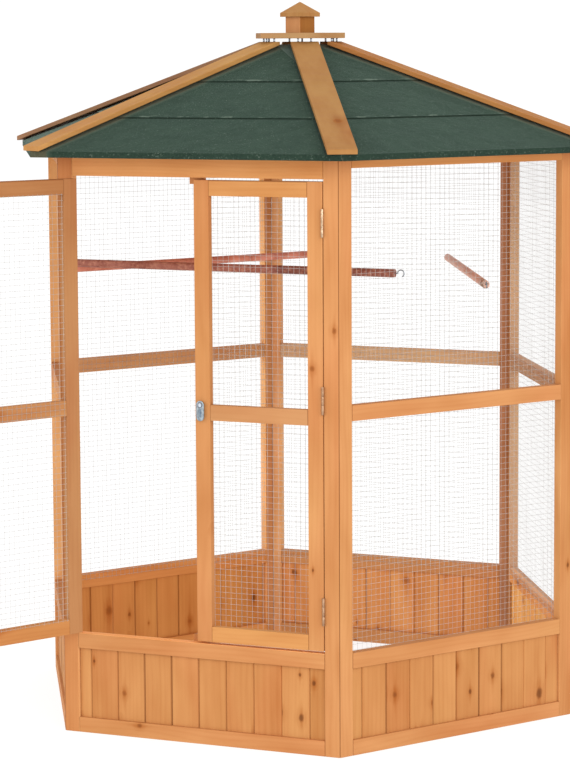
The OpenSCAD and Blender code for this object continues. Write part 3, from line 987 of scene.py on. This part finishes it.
leaf_places = {"left": left_leaf_place(), "right": Matrix.Identity(4)}
for mark, (side, place) in enumerate(leaf_places.items(), 1):
    low, high = box_in(side + "_leaf_stiles", place)
    upright = leaf_upright(place, (low.x + high.x) / 2, mark)
    level = leaf_level(place, *box_in(side + "_leaf_rails", place), mark, LEAF_TINTS[side])
    for part, draw in (("_leaf_stiles", upright), ("_leaf_rails", level)):
        wood = wood_material("pine_" + side + part, draw, LEAF[side])
        finish_node(side + part, wood, TIMBER_EDGE)
    finish_node(side + "_leaf_hinges", HINGE, METAL_EDGE)

for node, name, draw, tones, share, edge in (
    ("door_stops", "pine_stops", block_upright(1.0), PINE, FEW_KNOTS, TIMBER_EDGE),
    ("hip_battens", "pine_hips", hip_run, ROOF, FEW_KNOTS, TIMBER_EDGE),
    ("roof_decks", "pine_deck", roof_run, PINE, DECK_KNOTS, DECK_EDGE),
    ("apex_plate", "pine_plate", plate_run, ROOF, FEW_KNOTS, TIMBER_EDGE),
    ("finial_block", "pine_block", block_upright(2.0, BLOCK_LIGHT_AND_SHADE), ROOF, 0.0, TIMBER_EDGE),
    ("finial_cap", "pine_cap", block_upright(3.0, CAP_TINTS), ROOF, 0.0, TIMBER_EDGE),
):
    finish_node(node, wood_material(name, draw, tones, share), edge)

finish_node("frame_hinges", HINGE, METAL_EDGE)
finish_node("catch", CATCH, CATCH_EDGE)
finish_node("catch_screw", ZINC, CATCH_EDGE)
finish_node("apex_screws", ZINC, METAL_EDGE)
finish_node("perches", PERCH, PERCH_EDGE)
finish_node("perch_hooks", HOOK, METAL_EDGE)


# ---- Mesh building ----


class Shape:
    """Vertices and faces gathered for one mesh."""

    def __init__(self):
        self.points = []
        self.faces = []

    def add(self, points, faces):
        first = len(self.points)
        self.points.extend(points)
        self.faces.extend([tuple(first + index for index in face) for face in faces])

    def prism(self, outline, z_low, z_high):
        """An outline in plan, counter-clockwise, drawn up from z_low to z_high."""
        count = len(outline)
        points = [(x, y, z) for z in (z_low, z_high) for x, y in outline]
        sides = [(k, (k + 1) % count, count + (k + 1) % count, count + k) for k in range(count)]
        self.add(points, sides + [tuple(range(count))[::-1], tuple(range(count, 2 * count))])

    def rod(self, rings):
        """A closed skin through rings of as many points each."""
        count = len(rings[0])
        faces = []
        for ring in range(len(rings) - 1):
            for k in range(count):
                a, b = ring * count + k, ring * count + (k + 1) % count
                faces.append((a, b, b + count, a + count))
        last = (len(rings) - 1) * count
        faces.append(tuple(range(count))[::-1])
        faces.append(tuple(range(last, last + count)))
        self.add([point for ring in rings for point in ring], faces)

    def make(self, name, material, place, body):
        """The mesh object, in place and riding on a body."""
        mesh = bpy.data.meshes.new(name)
        mesh.from_pydata(self.points, [], self.faces)
        mesh.transform(place)
        mesh.materials.append(material)
        mesh.validate()
        item = bpy.data.objects.new(name, mesh)
        bpy.context.scene.collection.objects.link(item)
        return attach(item, body)


# ---- Base boards, tongued and grooved ----


def board_outline(x_low, x_high, y_out, y_in, tongue, groove):
    """Plan of one board, with a tongue on its right edge and a groove in its left edge."""
    chamfer = BOARD_CHAMFER
    y_mid = (y_out + y_in) / 2
    half = TONGUE_T / 2
    outline = [(x_low + chamfer, y_out), (x_high - chamfer, y_out), (x_high, y_out + chamfer)]
    if tongue:
        x_tip = x_high + TONGUE_W
        outline += [
            (x_high, y_mid - half), (x_tip, y_mid - half), (x_tip, y_mid + half),
            (x_high, y_mid + half),
        ]
    outline += [(x_high, y_in - chamfer), (x_high - chamfer, y_in)]
    outline += [(x_low + chamfer, y_in), (x_low, y_in - chamfer)]
    if groove:
        x_tip = x_low + TONGUE_W + 2 * GROOVE_ROOM
        y_high = y_mid + half + GROOVE_ROOM
        y_low = y_mid - half - GROOVE_ROOM
        outline += [(x_low, y_high), (x_tip, y_high), (x_tip, y_low), (x_low, y_low)]
    return outline + [(x_low, y_out + chamfer)]


def board_panel(wall):
    """One wall's boards, with small random gaps and steps between them."""
    rng = random.Random(wall)
    shift = BOARD_SHIFT[wall]
    reach = math.ceil(RAIL_X / BOARD_W)
    joints = [k * BOARD_W + shift for k in range(-reach, reach + 1)]
    joints = [x for x in joints if abs(x) < RAIL_X - 2 * BOARD_CHAMFER]
    edges = [-RAIL_X, *joints, RAIL_X]
    last = len(edges) - 2
    shape = Shape()
    for k in range(last + 1):
        gap_low = rng.uniform(0.0, BOARD_GAP) if k else 0.0
        gap_high = rng.uniform(0.0, BOARD_GAP) if k < last else 0.0
        sink = rng.uniform(-BOARD_SINK, BOARD_SINK)
        outline = board_outline(
            edges[k] + gap_low, edges[k + 1] - gap_high, panel_low.y + sink,
            panel_high.y + sink, k < last, k > 0,
        )
        shape.prism(outline, panel_low.z, panel_high.z)
    draw = wall_board(shift, INNER_WALL_LIGHT_AND_SHADE.get(wall, INNER_LIGHT))
    material = wood_material("pine_" + wall + "_boards", draw, BOARD, BOARD_KNOTS)
    item = shape.make(wall + "_base_boards", material, wall_place(WALLS.index(wall)), "aviary")
    ease_edges(item, BOARD_EDGE)
    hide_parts(wall + "_boards")


for wall in WALLS:
    board_panel(wall)


# ---- Welded mesh ----


def wander(line, along, kind):
    """Small sideways and in-and-out drift of a wire along its length."""
    across = line * WANDER_LINE + kind * WANDER_KIND
    here = Vector((across, along * WANDER_ALONG, kind * WANDER_DEPTH))
    return WIRE_WANDER * noise.noise(here), WIRE_WANDER * noise.noise(here + WANDER_SIDE)


def grid(low, high):
    """First line of a row of wires centred between two ends, and how many steps it takes."""
    count = round((high - low) / MESH_PITCH)
    return (low + high - count * MESH_PITCH) / 2, count


def wire_run(first, count):
    """Points along a wire: its two ends and every second crossing between them."""
    crossings = [first + step * MESH_PITCH for step in range(0, count + 1, 2)]
    return [first - WIRE_END, *crossings[1:-1], first + count * MESH_PITCH + WIRE_END]


def wire_sheet(name, low, high, place, body, node):
    """Upright and level wires of a flat sheet between two corners."""
    x_first, cols = grid(low.x, high.x)
    z_first, rows = grid(low.z, high.z)
    y_middle = (low.y + high.y) / 2
    y_upright = y_middle - WIRE_LAYER
    y_level = y_middle + WIRE_LAYER
    corners = [(WIRE_R, 0), (0, WIRE_R), (-WIRE_R, 0), (0, -WIRE_R)]
    mark = len(name)
    shape = Shape()
    for col in range(cols + 1):
        x = x_first + col * MESH_PITCH
        rings = []
        for z in wire_run(z_first, rows):
            side, proud = wander(col + mark, z, 1)
            y = y_upright + proud * WIRE_PROUD
            rings.append([(x + side + a, y + b, z) for a, b in corners])
        shape.rod(rings)
    for row in range(rows + 1):
        z = z_first + row * MESH_PITCH
        rings = []
        for x in wire_run(x_first, cols):
            side, proud = wander(row + mark, x, 2)
            y = y_level + proud * WIRE_PROUD
            rings.append([(x, y + a, z + side + b) for a, b in corners])
        shape.rod(rings)
    item = shape.make(name, WIRE, place, body)
    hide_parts(node)


trim = Vector((MESH_TRIM, 0, MESH_TRIM))
wall_low, wall_high = box_in("right_front_mesh", wall_place(1))
for wall in MESH_WALLS:
    place = wall_place(WALLS.index(wall))
    corners = (wall_low + trim, wall_high - trim)
    wire_sheet(wall + "_wire", *corners, place, "aviary", wall + "_mesh")

for side, place in leaf_places.items():
    low, high = box_in(side + "_leaf_mesh", place)
    corners = (low + trim, high - trim)
    wire_sheet(side + "_leaf_wire", *corners, place, side + "_door", side + "_leaf_mesh")


# ---- Camera, light and floor ----

CAMERA_AT = (2.621, -5.5386, 1.5271)
CAMERA_YAW = 0.41087
CAMERA_DOWN = 0.11766
CAMERA_ROLL = -0.00544
CAMERA_LENS = 135.18
CAMERA_REACH = 60

SOFTBOX_SIZE = 5.5
SOFTBOX_AIM = Vector((0, 0.5, 0.8))
KEY_AT, KEY_POWER = (5.2, -4.4, 2.7), 285
FILL_AT, FILL_POWER = (-4.6, -5.1, 2.5), 150
WORLD_POWER = 1.05

# The floor is a lit white table, as under a product shot
FLOOR_HALF = 20.0
FLOOR_GREY = 0.25
FLOOR_GLOW = 0.8
FLOOR_GAP = 0.0005


def add_camera():
    data = bpy.data.cameras.new("camera")
    data.lens = CAMERA_LENS
    data.clip_end = CAMERA_REACH
    item = bpy.data.objects.new("camera", data)
    turn = Matrix.Rotation(CAMERA_YAW, 4, "Z")
    tilt = Matrix.Rotation(math.pi / 2 - CAMERA_DOWN, 4, "X")
    roll = Matrix.Rotation(CAMERA_ROLL, 4, "Z")
    item.matrix_world = Matrix.Translation(CAMERA_AT) @ turn @ tilt @ roll
    bpy.context.scene.collection.objects.link(item)
    bpy.context.scene.camera = item


def add_softbox(name, at, power):
    """A square area light that faces the aviary."""
    data = bpy.data.lights.new(name, "AREA")
    data.size = SOFTBOX_SIZE
    data.energy = power
    item = bpy.data.objects.new(name, data)
    item.location = at
    item.rotation_euler = (SOFTBOX_AIM - Vector(at)).to_track_quat("-Z", "Y").to_euler()
    bpy.context.scene.collection.objects.link(item)


def add_world():
    world = bpy.data.worlds.new("studio")
    world.use_nodes = True
    background = world.node_tree.nodes["Background"]
    background.inputs["Color"].default_value = (1, 1, 1, 1)
    background.inputs["Strength"].default_value = WORLD_POWER
    bpy.context.scene.world = world


def add_floor():
    material, _, shader = new_material("floor_paper", 0.9, specular=0.1)
    shader.inputs["Base Color"].default_value = (FLOOR_GREY, FLOOR_GREY, FLOOR_GREY, 1)
    shader.inputs["Emission Color"].default_value = (1, 1, 1, 1)
    shader.inputs["Emission Strength"].default_value = FLOOR_GLOW
    mesh = bpy.data.meshes.new("floor")
    corners = [(-1, -1), (1, -1), (1, 1), (-1, 1)]
    mesh.from_pydata([(x * FLOOR_HALF, y * FLOOR_HALF, 0) for x, y in corners], [], [(0, 1, 2, 3)])
    mesh.materials.append(material)
    item = bpy.data.objects.new("floor", mesh)
    item.location = (AXIS.x, AXIS.y, CAD_BOX[0].z - FLOOR_GAP)
    bpy.context.scene.collection.objects.link(item)


add_camera()
add_world()
add_floor()
add_softbox("key", KEY_AT, KEY_POWER)
add_softbox("fill", FILL_AT, FILL_POWER)
bpy.context.scene.view_settings.view_transform = "Standard"
